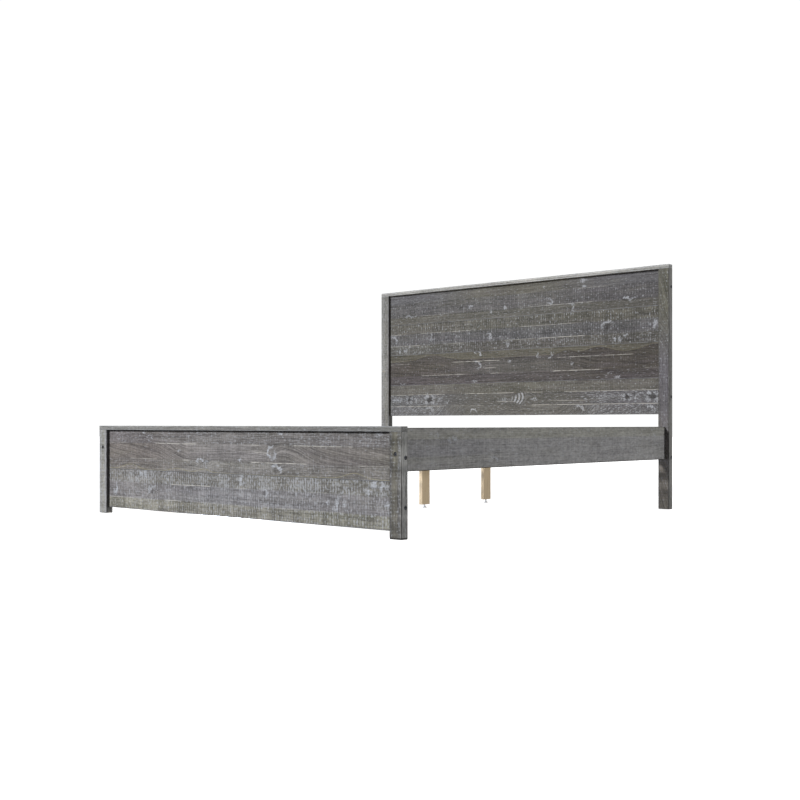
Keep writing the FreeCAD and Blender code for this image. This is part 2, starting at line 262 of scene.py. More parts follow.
def star(x, z, size, chalk=1.1):
    """A dark knot with limewash torn out along its four diagonals."""
    shape = dict(wide=size * 1.5, tall=size, lift=size * 0.8)
    return dict(kind="star", x=x, z=z, chalk=chalk, core=0.8, turn=None, **shape)


def blot(x, z, wide, tall, chalk=0.9):
    """A patch of limewash left on the surface."""
    return dict(kind="blot", x=x, z=z, wide=wide, tall=tall, lift=0.0, chalk=chalk, core=0.0, turn=None)


def beside(s, u, v, mark):
    """How far a point lies across and up from a mark's middle: 1 at its rim."""
    across = s.times(s.less(u, mark["x"]), 1 / mark["wide"])
    up = s.times(s.less(v, mark["z"]), 1 / mark["tall"])
    return across, up


def away_from(s, u, v, mark):
    """Distance from a mark's middle: 1 at its rim."""
    across, up = beside(s, u, v, mark)
    return s.math("SQRT", s.plus(s.times(across, across), up, up))


def towards(s, u, v, mark):
    """How far a point lies from a mark's middle in the direction of its turn."""
    angle = math.radians(mark["turn"])
    across = s.times(s.less(u, mark["x"]), math.cos(angle) / mark["wide"])
    return s.plus(across, math.sin(angle) / mark["tall"], s.less(v, mark["z"]))


def diagonal(s, u, v, mark):
    """1 on the diagonals through a mark's middle, and 0 straight across or up from it."""
    across, up = beside(s, u, v, mark)
    square = s.plus(s.times(across, across), up, up)
    return s.math("DIVIDE", s.times(s.math("ABSOLUTE", s.times(across, up)), 2.0), s.add(square, 0.001))


def hills_under(s, u, base, hills):
    """The height of a wavy line: base, raised at each hill (x, how high, half its width)."""
    line = base
    for x, high, wide in hills:
        away = s.times(s.less(u, x), 1 / wide)
        line = s.plus(line, high, s.math("EXPONENT", s.times(s.times(away, away), -1.0)))
    return line


def feathered(s, u, v, x, z, wide, tall):
    """Leaning arcs of limewash, as on a crotch in the grain."""
    across = s.less(u, x)
    up = s.less(v, z)
    bowed = s.plus(s.plus(across, -0.35, up), 15.0, s.times(up, up))
    stripes = s.rise(s.math("SINE", s.times(bowed, 250.0)), -0.4, 0.5)
    rim = s.less(s.math("ABSOLUTE", up), s.plus(0.6 * tall, 0.35, across))
    inside = s.times(s.near(bowed, 0.0, wide), s.rise(rim, 0.004, -0.006))
    return s.times(stripes, inside)


class Board(Shader):
    """Stained, rough-sawn and limewashed softwood, in layers that share one board's place and grain.

    u runs along the board from its middle, v across its face and w through it; g is v as the grain bends
    it, and front is 1 on the face where w is 0 and, on a one-sided board, 0 on its back.
    """

    def __init__(self, name, box, along, seed, strips, marks, one_sided):
        super().__init__(name, seed)
        self.strips = strips
        self.marks = marks
        self.u, self.v, self.w = self.place_in(box, along)
        self.half = self.size[0] / 2
        self.height = self.size[1]
        self.front = self.rise(self.w, 0.6 * self.size[2], 0.4 * self.size[2]) if one_sided else 1.0
        self.drift = self.less(self.straight(1.8, 9.0, detail=2.0), 0.5)
        self.edge_v = self.plus(self.v, EDGE_DRIFT, self.drift)
        self.saw = self.by_strip("saw")
        self.bend_grain()
        self.read_grain()

    def straight(self, along, across, detail=3.0, shift=0.0):
        """Noise that runs straight along the board."""
        return self.grain(self.u, self.v, self.w, along, across, detail, shift)

    def bent(self, along, across, detail=3.0, shift=0.0):
        """Noise that follows the bends of the grain."""
        return self.grain(self.u, self.g, self.w, along, across, detail, shift)

    def banded(self, results):
        """One result for each strip of the board."""
        return self.bands(self.edge_v, self.height, [part["top"] for part in self.strips], results)

    def by_strip(self, key):
        return self.banded([part[key] for part in self.strips])

    def bend_grain(self):
        """The grain drifts, slopes towards the ends of some strips and runs round the knots."""
        self.g = self.plus(self.v, GRAIN_DRIFT, self.drift)
        if any(part["slope"] for part in self.strips):
            slope = self.banded([0.5 + part["slope"] / 2 for part in self.strips])
            ends = self.rise(self.math("ABSOLUTE", self.u), 0.3 * self.half, 0.6 * self.half)
            self.g = self.plus(self.g, self.times(ends, self.times(self.less(slope, 0.5), 2.0)), self.u)
        for mark in self.marks:
            if mark["lift"]:
                square = self.math("POWER", away_from(self, self.u, self.v, mark), 2.0)
                self.g = self.plus(self.g, mark["lift"], self.math("EXPONENT", self.times(square, -1.0)))

    def read_grain(self):
        """The grain in four widths, and the saw's ticks and blocks across it."""
        self.medium = self.rise(self.bent(*MEDIUM_GRAIN), 0.3, 0.7)
        self.thread = self.rise(self.bent(*THREAD_GRAIN), 0.3, 0.7)
        self.fine = self.rise(self.bent(*FINE_GRAIN), 0.3, 0.7)
        self.broad = self.rise(self.bent(*BROAD_GRAIN), 0.3, 0.7)
        sway = self.straight(3.0, 6.0, shift=21.0)
        beat = self.math("SINE", self.plus(self.times(self.u, SAW_BEAT), 14.0, sway))
        self.beat = self.plus(0.5, 0.5, beat)
        tick = self.rise(self.straight(66.0, 9.0, detail=2.0, shift=3.0), 0.38, 0.72)
        self.tick = self.plus(self.times(tick, 0.78), 0.22, self.beat)
        self.block = self.rise(self.straight(13.0, 2.0, detail=1.0, shift=4.0), 0.35, 0.65)

    def stain(self):
        """The strips' colours, blended from left to right."""
        left, middle, right = [self.banded([part["colours"][i] for part in self.strips]) for i in range(3)]
        colour = self.mix(self.rise(self.u, -0.75 * self.half, -0.1 * self.half), left, middle)
        return self.mix(self.rise(self.u, 0.1 * self.half, 0.75 * self.half), colour, right)

    def brightness(self, calm, ringed, figure, shade, blocks):
        """How pale the stain is: calm boards show less grain, ringed ones more of its rings."""
        rings = self.math("SINE", self.add(self.times(self.g, RING_BEAT), self.times(self.broad, 9.0)))
        fleck = self.rise(self.straight(62.0, 125.0, detail=2.0, shift=6.0), 0.3, 0.7)
        value = self.plus(0.22 + 0.30 * calm, 0.34 - 0.27 * calm, self.medium)
        value = self.plus(value, 0.34 - 0.14 * calm, self.thread)
        value = self.plus(value, 0.16, self.fine)
        value = self.plus(value, 0.26 - 0.19 * calm, self.broad)
        value = self.plus(value, 0.32, fleck)
        value = self.plus(value, 0.16 if ringed else 0.06, rings)
        if figure:
            sway = self.straight(1.3, 8.0, detail=1.0, shift=22.0)
            arcs = self.math("SINE", self.add(self.times(self.v, 170.0), self.times(sway, 60.0)))
            value = self.plus(value, figure, arcs)
        value = self.times(value, shade)
        ticked = self.plus(self.plus(0.66, 0.52, self.tick), 0.26, self.block)
        value = self.times(value, self.plus(self.less(1.0, self.saw), self.saw, ticked))
        if blocks:
            value = self.times(value, self.plus(1.0 - blocks / 2, blocks, self.block))
        return value

    def over_hills(self, colour, value, base, above, line, hills):
        """An olive stain above a wavy line, and a straw-coloured rim along it."""
        over = self.less(self.edge_v, hills_under(self, self.u, base, hills))
        colour = self.mix(self.rise(over, -0.001, 0.001, 0.0, above), colour, self.scaled(OLIVE, value))
        return self.mix(self.times(self.near(over, 0.0, 0.0028), line), colour, STRAW)

    def tinted(self, colour, value):
        """A touch of olive in some places and of violet in others."""
        tint = self.straight(2.6, 22.0, detail=2.0, shift=7.0)
        colour = self.mix(self.times(self.rise(tint, 0.5, 0.72), 0.22), colour, self.scaled(OLIVE, value))
        return self.mix(self.times(self.rise(tint, 0.5, 0.3), 0.16), colour, self.scaled(VIOLET, value))

    def mark_layers(self):
        """How much limewash the marks hold, and how dark the hearts of the knots are."""
        torn_u = self.straight(34.0, 34.0, detail=5.0, shift=11.0)
        torn_v = self.straight(34.0, 44.0, detail=5.0, shift=12.0)
        torn_u = self.plus(self.u, 0.052, self.less(torn_u, 0.5))
        torn_v = self.plus(self.v, 0.038, self.less(torn_v, 0.5))
        patch = 0.0
        heart = 0.0
        for mark in self.marks:
            away = away_from(self, torn_u, torn_v, mark)
            if mark["kind"] == "ring":
                reach = self.times(self.near(away, 0.80, 0.36), mark["chalk"])
            else:
                reach = self.rise(away, 1.25, 0.25, 0.0, mark["chalk"])
            if mark["kind"] == "star":
                arms = self.rise(diagonal(self, torn_u, torn_v, mark), 0.2, 0.9, 0.25, 1.0)
                reach = self.times(reach, arms)
            if mark["turn"] is not None:
                reach = self.times(reach, self.rise(towards(self, torn_u, torn_v, mark), -0.25, 0.35))
            if mark["core"]:
                heart = self.larger(heart, self.rise(away, 0.55, 0.25, 0.0, mark["core"]))
            patch = self.larger(patch, reach)
        return self.times(patch, self.front), self.times(heart, self.front)

    def limewash(self, patch, marked, feather):
        """Crumbs of limewash in the grain and the saw's ticks, shreds of it on the marks, and the feather."""
        wish = self.times(self.by_strip("chalk"), self.plus(0.65, 0.35, self.block))
        if any(part["ends"] for part in self.strips):
            outward = self.rise(self.math("ABSOLUTE", self.u), 0.45 * self.half, 0.60 * self.half)
            wish = self.add(wish, self.times(self.times(self.by_strip("ends"), outward), self.front))
        crumbs = self.bent(42.0, 190.0, detail=4.0, shift=14.0)
        ticks = self.plus(self.straight(110.0, 60.0, shift=15.0), 0.12, self.less(self.beat, 0.5))
        crumbs = self.plus(self.times(crumbs, self.less(1.0, self.saw)), self.saw, ticks)
        lime = self.times(self.rise(self.plus(crumbs, 0.24, wish), 0.56, 0.78), 0.66)
        shreds = self.straight(120.0, 90.0, detail=4.0, shift=16.0)
        torn = self.rise(self.plus(shreds, 0.24, patch), 0.58, 0.90)
        torn = self.times(torn, self.rise(patch, 0.05, 0.6))
        streaks = self.plus(0.26 * marked, 0.56 * marked, self.thread)
        lime = self.larger(lime, self.times(torn, streaks))
        if feather:
            arcs = self.times(feathered(self, self.u, self.v, *feather), self.front)
            lime = self.larger(lime, self.times(arcs, self.rise(shreds, 0.3, 0.6, 0.15, 0.9)))
        return lime

    def scored(self, colour, lines, cracks):
        """Pale dashed lines where strips meet, and dark cracks."""
        wave = self.plus(self.v, 0.003, self.less(self.straight(5.0, 1.0, shift=17.0), 0.5))
        dashes = self.rise(self.straight(30.0, 1.0, shift=18.0), 0.36, 0.54)
        ridge = 0.0
        for z, parts in lines:
            line = self.times(self.near(wave, z, LINE_REACH), self.spans(self.u, self.half, parts))
            ridge = self.larger(ridge, self.times(line, self.plus(0.30, 0.65, dashes)))
        if lines:
            colour = self.mix(self.times(ridge, self.front), colour, LIME)
        for z, parts in cracks:
            crack = self.times(self.near(wave, z, CRACK_REACH), self.spans(self.u, self.half, parts))
            colour = self.mix(self.times(crack, 0.75), colour, DIRT_AND_SHADE)
        return colour

    def seamed_and_shaded(self, colour, strength):
        """A dark line on the long edges: the joints, with painted shade in the grooves and under the cap."""
        rim = self.math("ABSOLUTE", self.less(self.v, self.height / 2))
        dark = self.rise(rim, self.height / 2 - SEAM_SHADE_OUTER, self.height / 2 - SEAM_SHADE_INNER, 0.0, strength)
        return self.mix(dark, colour, DIRT_AND_SHADE)

    def edged(self, colour, edge):
        """The long edges: rubbed pale with a chalk edge, and given painted shade with a dark edge."""
        patchy = self.rise(self.straight(14.0, 60.0, shift=20.0), 0.30, 0.55, 0.2, 1.0)
        # With a dark edge this mask lays painted shade on the corners; with a chalk edge it is wear.
        worn = self.times(self.arris(self.v, self.w, WEAR_AND_SHADE_REACH), patchy)
        return self.mix(self.times(worn, 0.45 if edge is CHALK else 0.85), colour, edge)

    def relief(self, lime):
        """The height of the surface, for its bumps."""
        height = self.plus(self.times(self.medium, 0.5), 0.4, self.thread)
        height = self.plus(height, 0.25, self.fine)
        height = self.plus(height, self.times(self.saw, 0.6), self.tick)
        return self.plus(height, 0.35, lime)


def weathered(
    name, box, along, seed, strips, lines=(), cracks=(), marks=(), seam_shade=0.0, shade=1.0, hills=None,
    feather=None, edge=CHALK, calm=0.0, darkened=0.0, blocks=0.0, figure=0.0, marked=1.0,
):
    """The finish of one board; a board given seam shade has its marks and pale lines on the front only.

    calm flattens the grain, figure adds wide arcs to it, and blocks lightens and darkens stretches of the
    board. marked is the strength of the limewash on the marks, and darkened how much darker the low end is.
    """
    s = Board(name, box, along, seed, strips, marks, one_sided=bool(seam_shade))
    value = s.brightness(calm, bool(hills), figure, shade, blocks)
    colour = s.scaled(s.stain(), value)
    if hills:
        colour = s.over_hills(colour, value, **hills)
    colour = s.tinted(colour, value)
    patch, heart = s.mark_layers()
    lime = s.limewash(patch, marked, feather)
    colour = s.mix(lime, colour, CHALK)
    if marks:
        colour = s.mix(heart, colour, DIRT_AND_SHADE)
    colour = s.scored(colour, lines, cracks)
    # Dark joint lines, deepened with painted shade in the grooves and under the cap.
    if seam_shade:
        colour = s.seamed_and_shaded(colour, seam_shade)
    # Darker over the last few millimetres at the low end.
    if darkened:
        colour = s.mix(s.rise(s.u, LOW_END_DARK_TO - s.half, LOW_END_DARK_FROM - s.half, 0.0, darkened), colour, DIRT_AND_SHADE)
    colour = s.edged(colour, edge)
    roughness = s.plus(s.plus(0.66, 0.10, s.fine), 0.18, lime)
    return s.finish(colour, roughness, s.relief(lime), WOOD_BUMP, Specular_IOR_Level=0.3)


HEAD_PLANKS = (
    dict(
        strips=(
            strip(0.058, hue(112, 112, 114), hue(114, 113, 109), hue(102, 101, 102), 0.15, 0.20, -0.42, 0.26),
            strip(0.130, hue(106, 106, 108), hue(104, 103, 99), hue(100, 99, 102), 0.1, 0.20, 0.0, 0.20),
            strip(0.190, hue(116, 114, 110), hue(113, 112, 105), hue(108, 106, 101), 0.45, 0.20),
        ),
        lines=(
            (0.0580, ((-0.96, -0.50, 0.8), (-0.46, -0.20, 0.3), (0.13, 0.96, 0.75))),
            (0.1300, ((-0.96, -0.50, 0.6), (-0.35, 0.02, 0.8), (0.08, 0.22, 0.4), (0.36, 0.96, 0.55))),
            (0.0800, ((-0.12, 0.06, 0.45), (0.25, 0.50, 0.45))),
        ),
        feather=(0.045, 0.094, 0.066, 0.048),
        marks=(
            star(-0.790, 0.094, 0.030, 1.6), star(-0.625, 0.096, 0.040, 2.0),
            knot(-0.715, 0.094, 0.018, 1.2, 0.0, 180), star(0.756, 0.094, 0.030, 1.6),
            star(0.910, 0.096, 0.038, 2.0), knot(0.830, 0.094, 0.018, 1.2, 0.0, 180),
            blot(0.155, 0.090, 0.030, 0.014, 1.2), blot(-0.050, 0.088, 0.060, 0.020, 0.9),
            blot(-0.890, 0.098, 0.080, 0.026, 1.0), blot(-0.545, 0.100, 0.026, 0.022, 1.0),
            blot(0.620, 0.098, 0.120, 0.018, 0.8), blot(-0.480, 0.080, 0.014, 0.020, 1.0),
            knot(-0.280, 0.020, 0.020, 1.2, 0.0, 115), knot(0.455, 0.030, 0.026, 1.3, 0.3, 60),
            knot(-0.630, 0.032, 0.024, 1.3, 0.2, 60), knot(0.895, 0.024, 0.020, 1.2, 0.2, 60),
        ),
    ),
    dict(
        strips=(
            strip(0.057, hue(94, 89, 91), hue(94, 90, 90), hue(82, 77, 78), 0.10, 0.08),
            strip(0.1325, hue(93, 88, 84), hue(100, 98, 96), hue(83, 78, 74), 0.45, 0.10, 0.08),
            strip(0.190, hue(92, 88, 84), hue(94, 91, 88), hue(80, 75, 71), 0.25, 0.10),
        ),
        lines=(
            (0.1325, ((-0.96, -0.78, 0.45), (-0.45, -0.08, 0.8), (0.31, 0.80, 0.6))),
            (0.0895, ((-0.21, -0.11, 0.6),)),
            (0.0575, ((-0.69, -0.34, 0.55), (-0.16, -0.06, 0.6), (0.28, 0.61, 0.9), (0.86, 0.96, 0.3))),
        ),
        cracks=((0.049, ((-0.38, 0.66, 0.6),)), (0.139, ((-0.95, 0.75, 0.5),))),
        hills=dict(
            base=0.150, above=0.60, line=0.20,
            hills=((-0.60, 0.034, 0.13), (0.38, 0.026, 0.06), (0.58, 0.034, 0.10), (0.93, 0.034, 0.10)),
        ),
        marks=(
            knot(-0.255, 0.170, 0.022, 1.3, 0.0, 60), knot(-0.262, 0.104, 0.030, 1.1, 0.0, 30),
            knot(0.200, 0.152, 0.018, 1.2, 0.0, 200), knot(0.256, 0.152, 0.020, 1.3, 0.0, 330),
            blot(-0.018, 0.126, 0.016, 0.009, 1.3), blot(0.415, 0.096, 0.016, 0.009, 1.2),
            blot(-0.890, 0.030, 0.024, 0.010, 1.0), blot(-0.845, 0.011, 0.034, 0.008, 1.1),
            blot(-0.275, 0.012, 0.034, 0.010, 1.1), blot(0.650, 0.033, 0.024, 0.008, 1.0),
            blot(0.700, 0.011, 0.034, 0.008, 1.1),
        ),
    ),
    dict(
        strips=(
            strip(0.058, hue(105, 104, 100), hue(97, 95, 91), hue(92, 90, 86), 0.55, 0.34),
            strip(0.129, hue(105, 104, 105), hue(101, 101, 103), hue(95, 94, 95), 0.65, 0.28),
            strip(0.190, hue(112, 110, 104), hue(107, 106, 100), hue(103, 101, 94), 1.05, 0.06),
        ),
        lines=(
            (0.0570, ((-0.96, -0.70, 0.5), (-0.52, -0.35, 0.3), (-0.06, 0.16, 0.4), (0.18, 0.50, 0.8))),
            (0.1290, ((-0.95, -0.85, 0.6), (-0.70, -0.50, 0.4), (-0.45, -0.30, 0.5), (0.05, 0.45, 0.4))),
        ),
        marks=(
            knot(-0.932, 0.096, 0.032, 1.2, 0.0, 40), blot(-0.612, 0.100, 0.012, 0.040, 1.3),
            blot(-0.600, 0.086, 0.055, 0.012, 0.9), knot(-0.182, 0.086, 0.026, 1.3, 0.2, 20),
            knot(0.638, 0.100, 0.030, 1.2, 0.5, 120), blot(0.925, 0.096, 0.013, 0.040, 1.5),
            blot(-0.865, 0.026, 0.012, 0.022, 1.5), blot(-0.820, 0.026, 0.016, 0.020, 1.6),
            blot(-0.788, 0.047, 0.024, 0.010, 1.2), blot(0.680, 0.026, 0.012, 0.022, 1.5),
            blot(0.719, 0.026, 0.016, 0.020, 1.6), blot(0.752, 0.047, 0.024, 0.010, 1.2),
            blot(-0.028, 0.028, 0.012, 0.024, 1.4), blot(-0.006, 0.050, 0.016, 0.010, 1.2),
            knot(0.400, 0.030, 0.016, 1.0, 0.2, 90), blot(0.345, 0.040, 0.012, 0.008, 1.1),
        ),
    ),
    dict(
        strips=(
            strip(0.046, hue(110, 108, 102), hue(110, 109, 103), hue(100, 98, 93), 0.2, 0.20),
            strip(0.130, hue(107, 106, 107), hue(109, 108, 107), hue(96, 94, 96), 0.55, 0.22),
            strip(0.190, hue(114, 114, 117), hue(112, 110, 102), hue(104, 103, 106), 0.2, 0.15),
        ),
        lines=(
            (0.0500, ((-0.70, -0.46, 0.3), (0.10, 0.55, 0.45))),
            (0.1290, ((0.45, 0.65, 0.3),)),
        ),
        cracks=((0.0445, ((-0.95, 0.95, 0.4),)),),
        marks=(
            blot(0.481, 0.172, 0.032, 0.017, 1.3), blot(0.486, 0.137, 0.024, 0.011, 1.4),
            knot(-0.792, 0.040, 0.020, 1.3, 0.0, 80), knot(-0.745, 0.044, 0.014, 1.1, 0.0, 120),
            knot(0.752, 0.040, 0.020, 1.3, 0.0, 60), knot(0.803, 0.044, 0.014, 1.1, 0.0, 110),
            blot(0.410, 0.047, 0.028, 0.010, 1.2), blot(0.420, 0.022, 0.011, 0.024, 1.4),
            blot(-0.300, 0.080, 0.034, 0.018, 1.2), blot(-0.050, 0.060, 0.014, 0.015, 1.6),
            knot(0.258, 0.070, 0.022, 1.3, 0.2, 50), blot(0.264, 0.060, 0.026, 0.010, 1.2),
            blot(-0.150, 0.038, 0.014, 0.018, 1.3), blot(0.225, 0.154, 0.014, 0.008, 1.1),
        ),
    ),
)
FOOT_PLANKS = (
    dict(
        strips=(
            strip(0.054, hue(148, 146, 136), hue(143, 141, 134), hue(133, 132, 123), 1.15, 0.25),
            strip(0.131, hue(140, 137, 138), hue(140, 139, 142), hue(129, 127, 129), 0.70, 0.42),
            strip(0.190, hue(134, 131, 127), hue(127, 125, 121), hue(126, 124, 119), 0.75, 0.66),
        ),
        lines=(
            (0.1310, ((-0.64, -0.60, 0.4), (-0.45, -0.15, 0.9), (0.0, 0.10, 0.5), (0.40, 0.60, 0.25))),
            (0.0550, ((-0.95, -0.70, 0.6), (-0.50, -0.35, 0.7), (-0.30, 0.10, 0.3), (0.20, 0.70, 0.4))),
        ),
        marks=(
            blot(-0.681, 0.174, 0.017, 0.017, 1.6), blot(-0.647, 0.172, 0.012, 0.028, 1.6),
            blot(-0.719, 0.145, 0.020, 0.016, 1.4), blot(-0.887, 0.098, 0.012, 0.042, 1.6),
            knot(-0.590, 0.092, 0.028, 1.2, 0.5, 130), blot(0.056, 0.166, 0.013, 0.034, 1.6),
            knot(0.205, 0.116, 0.020, 1.2, 0.4, 20), blot(0.656, 0.092, 0.012, 0.044, 1.6),
            blot(0.856, 0.172, 0.019, 0.017, 1.6), blot(0.900, 0.170, 0.012, 0.028, 1.6),
            blot(0.600, 0.092, 0.014, 0.014, 1.3), blot(0.928, 0.100, 0.017, 0.012, 1.4),
            blot(0.826, 0.146, 0.020, 0.016, 1.4), blot(-0.905, 0.080, 0.018, 0.018, 1.2),
            blot(0.636, 0.066, 0.018, 0.020, 1.3), blot(0.690, 0.086, 0.016, 0.012, 1.1),
        ),
    ),
    dict(
        strips=(
            strip(0.057, hue(130, 125, 121), hue(134, 132, 130), hue(126, 123, 120), 0.45, 0.30),
            strip(0.132, hue(127, 121, 118), hue(137, 134, 134), hue(122, 118, 115), 0.40, 0.12, 0.13),
            strip(0.195, hue(124, 119, 120), hue(126, 123, 122), hue(121, 118, 118), 0.35, 0.40),
        ),
        hills=dict(
            base=0.004, above=0.0, line=0.55,
            hills=((-0.77, 0.024, 0.08), (-0.40, 0.013, 0.07), (-0.20, 0.014, 0.05), (0.75, 0.024, 0.07)),
        ),
        lines=(
            (0.1320, ((-0.95, -0.80, 0.4), (-0.575, -0.245, 1.0), (0.115, 0.18, 0.7), (0.39, 0.745, 0.85))),
            (0.0570, ((-0.78, -0.55, 0.6), (-0.38, -0.31, 0.8), (0.12, 0.48, 1.0), (0.76, 0.95, 0.6))),
            (0.1000, ((0.145, 0.24, 0.8),)),
        ),
        marks=(
            blot(-0.385, 0.100, 0.015, 0.009, 1.5), knot(0.262, 0.104, 0.028, 1.3, 0.0, 170),
            blot(0.266, 0.078, 0.026, 0.012, 1.4), blot(0.278, 0.094, 0.014, 0.018, 1.2),
            knot(-0.225, 0.046, 0.022, 1.3, 0.0, 100), knot(-0.172, 0.040, 0.018, 1.3, 0.0, 150),
            knot(0.284, 0.024, 0.026, 1.3, 0.3, 60), knot(-0.616, 0.160, 0.015, 0.8, 0.2),
            blot(-0.664, 0.185, 0.022, 0.009, 1.1), blot(0.050, 0.068, 0.016, 0.013, 1.4),
            blot(0.312, 0.184, 0.026, 0.010, 1.2), blot(0.880, 0.186, 0.026, 0.010, 1.1),
        ),
    ),
)


# ---------------------------------------------------------------- weathered posts, caps and rails
SIDE_GREY = hue(158, 158, 156)
HEAD_SIDE = hue(140, 139, 136)
# A flat dark grey: painted shade on the left posts' inner faces, in the recess beside each panel.
RECESS_SHADE = hue(86, 86, 86)
FRAME_LOOKS = dict(
    footboard_post_left=dict(
        strips=(
            strip(0.022, hue(176, 176, 174), hue(172, 172, 170), hue(168, 168, 166), 0.5, 0.70),
            strip(0.044, hue(168, 167, 160), hue(166, 165, 158), hue(162, 161, 154), 0.7, 0.55),
            strip(0.060, hue(170, 170, 170), hue(166, 166, 166), hue(162, 162, 162), 0.3, 0.60),
            # The inner face beside the panel, in painted shade.
            strip(0.063, RECESS_SHADE, RECESS_SHADE, RECESS_SHADE, 0.0, 0.0),
        ),
    ),
    footboard_post_right=dict(
        strips=(
            strip(0.012, hue(112, 111, 108), hue(110, 109, 105), hue(106, 105, 100), 0.4, 0.40),
            strip(0.042, hue(112, 110, 101), hue(110, 108, 99), hue(106, 104, 95), 0.7, 0.16),
            strip(0.0585, hue(109, 108, 105), hue(107, 106, 103), hue(101, 100, 97), 0.4, 0.48),
            strip(0.063, SIDE_GREY, SIDE_GREY, SIDE_GREY, 0.05, 0.10),
        ),
        # Its dark edges are painted shade on the corners.
        edge=DIRT_AND_SHADE, darkened=0.8, blocks=0.5,
    ),
    headboard_post_left=dict(
        strips=(
            strip(0.030, hue(150, 150, 148), hue(146, 146, 144), hue(140, 140, 138), 0.3, 0.40),
            strip(0.060, hue(144, 143, 139), hue(140, 139, 135), hue(134, 133, 129), 0.3, 0.40),
            # The inner face beside the panel, in painted shade.
            strip(0.063, RECESS_SHADE, RECESS_SHADE, RECESS_SHADE, 0.0, 0.0),
        ),
    ),
    headboard_post_right=dict(
        strips=(
            strip(0.006, hue(118, 117, 114), hue(118, 117, 116), hue(116, 115, 106), 0.1, 0.10),
            # The front is painted lighter towards its low end: painted light where the slats shade the post's
            # foot.
            strip(0.0585, hue(126, 120, 112), hue(101, 99, 104), hue(97, 96, 86), 0.35, 0.24, 0.30, 0.0),
            strip(0.063, HEAD_SIDE, HEAD_SIDE, HEAD_SIDE, 0.05, 0.10),
        ),
        marks=(
            blot(-0.16, 0.030, 0.05, 0.014, 0.5), blot(-0.05, 0.034, 0.03, 0.012, 0.6),
            blot(0.10, 0.030, 0.04, 0.012, 0.4),
        ),
        # Its dark edges are painted shade on the corners.
        edge=DIRT_AND_SHADE,
    ),
    headboard_cap=dict(
        strips=(
            strip(0.0085, hue(176, 176, 172), hue(182, 182, 179), hue(178, 178, 175), 0.0, 0.25),
            strip(0.0100, hue(150, 150, 147), hue(156, 156, 152), hue(150, 150, 147), 0.0, 0.05),
            strip(0.0220, hue(186, 186, 183), hue(192, 192, 188), hue(186, 186, 184), 0.0, 0.30),
        ),
        figure=0.05,
    ),
    footboard_cap=dict(
        strips=(
            strip(0.0110, hue(142, 142, 140), hue(138, 137, 134), hue(124, 124, 122), 0.0, 0.15),
            strip(0.0220, hue(150, 150, 148), hue(144, 144, 141), hue(132, 132, 130), 0.0, 0.20),
        ),
        figure=0.09, calm=0.5,
    ),
)
RAIL_LOOK = dict(
    strips=(
        strip(0.055, hue(152, 151, 149), hue(162, 161, 161), hue(164, 163, 162), 0.33, 0.24),
        strip(0.122, hue(149, 148, 150), hue(162, 161, 161), hue(163, 162, 162), 0.36, 0.26),
        strip(0.170, hue(155, 154, 149), hue(165, 164, 157), hue(165, 164, 158), 0.20, 0.20),
    ),
    lines=((0.038, ((-0.62, -0.45, 0.4),)),),
    # A dark line along the whole lower edge of the rail.
    cracks=((0.0015, ((-0.99, 0.99, 0.9),)),),
    marks=(
        blot(-0.742, 0.120, 0.018, 0.011, 1.4), blot(-0.712, 0.125, 0.020, 0.013, 1.7),
        blot(-0.810, 0.137, 0.014, 0.011, 1.2), knot(-0.442, 0.033, 0.016, 1.3, 0.2, 60),
        blot(0.905, 0.128, 0.014, 0.014, 1.4), blot(0.860, 0.126, 0.010, 0.010, 1.3),
    ),
    # Its dark edges are painted shade along the rail's corners.
    edge=DIRT_AND_SHADE, calm=1.0,
)


# ---------------------------------------------------------------- natural pine
PINE_EARLY = hue(218, 198, 165)
PINE_LATE = hue(197, 166, 123)
PINE_HEART = hue(120, 78, 46)
PINE_BUMP = 0.00025


def pine(name, along, seed, knotty=True):
    """Bare planed pine: pale early wood, orange late wood, pith flecks and small round knots."""
    s = Shader(name, seed)
    u, v, w = s.place_in(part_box(name), along)
    cells = s.node("ShaderNodeTexVoronoi")
    stretched = s.vector(s.plus(seed * 3.3, 2.4, u), s.plus(seed * 1.9, 9.0, v), s.times(w, 9.0))
    s.feed(cells.inputs["Vector"], stretched)
    near = cells.outputs["Distance"]
    bulge = s.rise(near, 0.42, 0.0)
    drift = s.less(s.grain(u, v, w, 1.4, 10.0, detail=2.0), 0.5)
    g = s.plus(s.plus(v, 0.05, drift), 0.010, bulge)
    turned = s.plus(w, 0.010, bulge)
    rings = s.math("SINE", s.add(s.times(g, 900.0), s.times(turned, 260.0)))
    late = s.times(s.rise(rings, -0.2, 1.0), s.rise(s.grain(u, g, turned, 1.2, 26.0, shift=2.0), 0.3, 0.65))
    fine = s.rise(s.grain(u, g, turned, 14.0, 620.0, shift=4.0), 0.3, 0.7)
    flecks = s.rise(s.grain(u, g, turned, 60.0, 900.0, detail=1.0, shift=5.0), 0.62, 0.75)
    colour = s.mix(s.times(late, 0.62), PINE_EARLY, PINE_LATE)
    colour = s.scaled(colour, s.plus(s.plus(0.90, 0.10, fine), 0.08, s.grain(u, v, w, 2.0, 8.0, shift=8.0)))
    colour = s.mix(s.times(flecks, 0.25), colour, PINE_LATE)
    if knotty:
        colour = s.mix(s.rise(near, 0.13, 0.06, 0.0, 0.55), colour, PINE_LATE)
        colour = s.mix(s.rise(near, 0.075, 0.04, 0.0, 0.8), colour, PINE_HEART)
    darkened = s.times(s.arris(v, w, 0.003), 0.25)
    colour = s.mix(darkened, colour, PINE_LATE)
    relief = s.plus(s.times(late, 0.6), 0.4, fine)
    return s.finish(colour, s.plus(0.52, 0.12, fine), relief, PINE_BUMP, Specular_IOR_Level=0.35)


